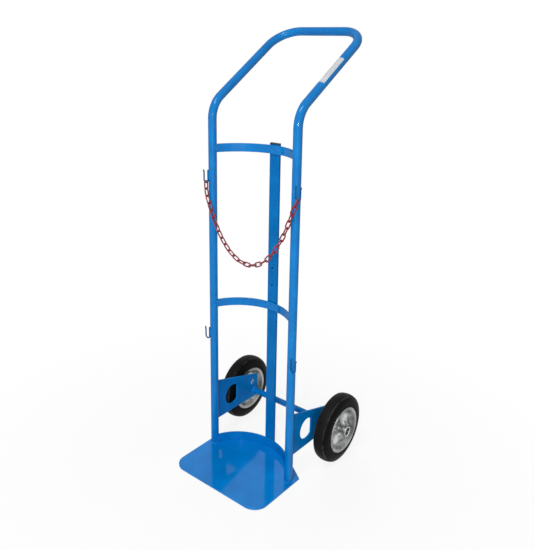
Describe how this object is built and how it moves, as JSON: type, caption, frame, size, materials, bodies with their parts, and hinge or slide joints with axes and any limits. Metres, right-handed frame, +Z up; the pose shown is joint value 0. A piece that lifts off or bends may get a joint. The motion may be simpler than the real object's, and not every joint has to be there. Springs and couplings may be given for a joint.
{
  "type": "gas cylinder trolley",
  "caption": "Upright hand trolley for one gas cylinder: bent tube frame with a sloping handle, curved cradle bands, toe plate, rubber wheels and a retaining chain.",
  "frame": {"origin": "on the floor under the toe plate, midway between the two uprights", "axes": "+X to the right seen from the front, +Y to the back where the wheels and handle are, +Z up"},
  "size_m": [0.4678, 0.5077, 1.3377],
  "materials": {
    "frame_paint": "gloss blue paint",
    "cap_plastic": "moulded black",
    "bright_zinc": "zinc plated",
    "tyre_rubber": "moulded rubber",
    "galvanised": "galvanised pressed sheet",
    "bush_nylon": "nylon",
    "chain_red": "red coated welded links"
  },
  "bodies": {
    "frame": {"frame_tube": "frame_paint", "toe_plate": "frame_paint", "base_rim": "frame_paint", "lower_band": "frame_paint", "upper_band": "frame_paint", "back_post": "frame_paint", "post_cap": "cap_plastic", "bracket_left": "frame_paint", "bracket_right": "frame_paint", "axle": "frame_paint", "axle_washers": "bright_zinc", "retaining_rings": "bright_zinc", "hook_upper_left": "frame_paint", "hook_upper_right": "frame_paint", "hook_lower_left": "frame_paint", "hook_lower_right": "frame_paint"},
    "wheel_left": {"tyre_left": "tyre_rubber", "rim_outer_left": "galvanised", "rim_inner_left": "galvanised", "hub_left": "bright_zinc", "bushes_left": "bush_nylon"},
    "wheel_right": {"tyre_right": "tyre_rubber", "rim_outer_right": "galvanised", "rim_inner_right": "galvanised", "hub_right": "bright_zinc", "bushes_right": "bush_nylon"},
    "chain": {"chain": "chain_red"}
  },
  "joints": [
    {"name": "wheel_left_spin", "type": "hinge", "parent": "frame", "child": "wheel_left", "pos_m": [-0.1944, 0.2, 0.111], "axis": [1, 0, 0], "continuous": true},
    {"name": "wheel_right_spin", "type": "hinge", "parent": "frame", "child": "wheel_right", "pos_m": [0.1944, 0.2, 0.111], "axis": [1, 0, 0], "continuous": true},
    {"name": "chain_swing", "type": "hinge", "parent": "frame", "child": "chain", "pos_m": [0, -0.01303, 0.89225], "axis": [-1, 0, 0], "range_deg": [0, 70]}
  ]
}
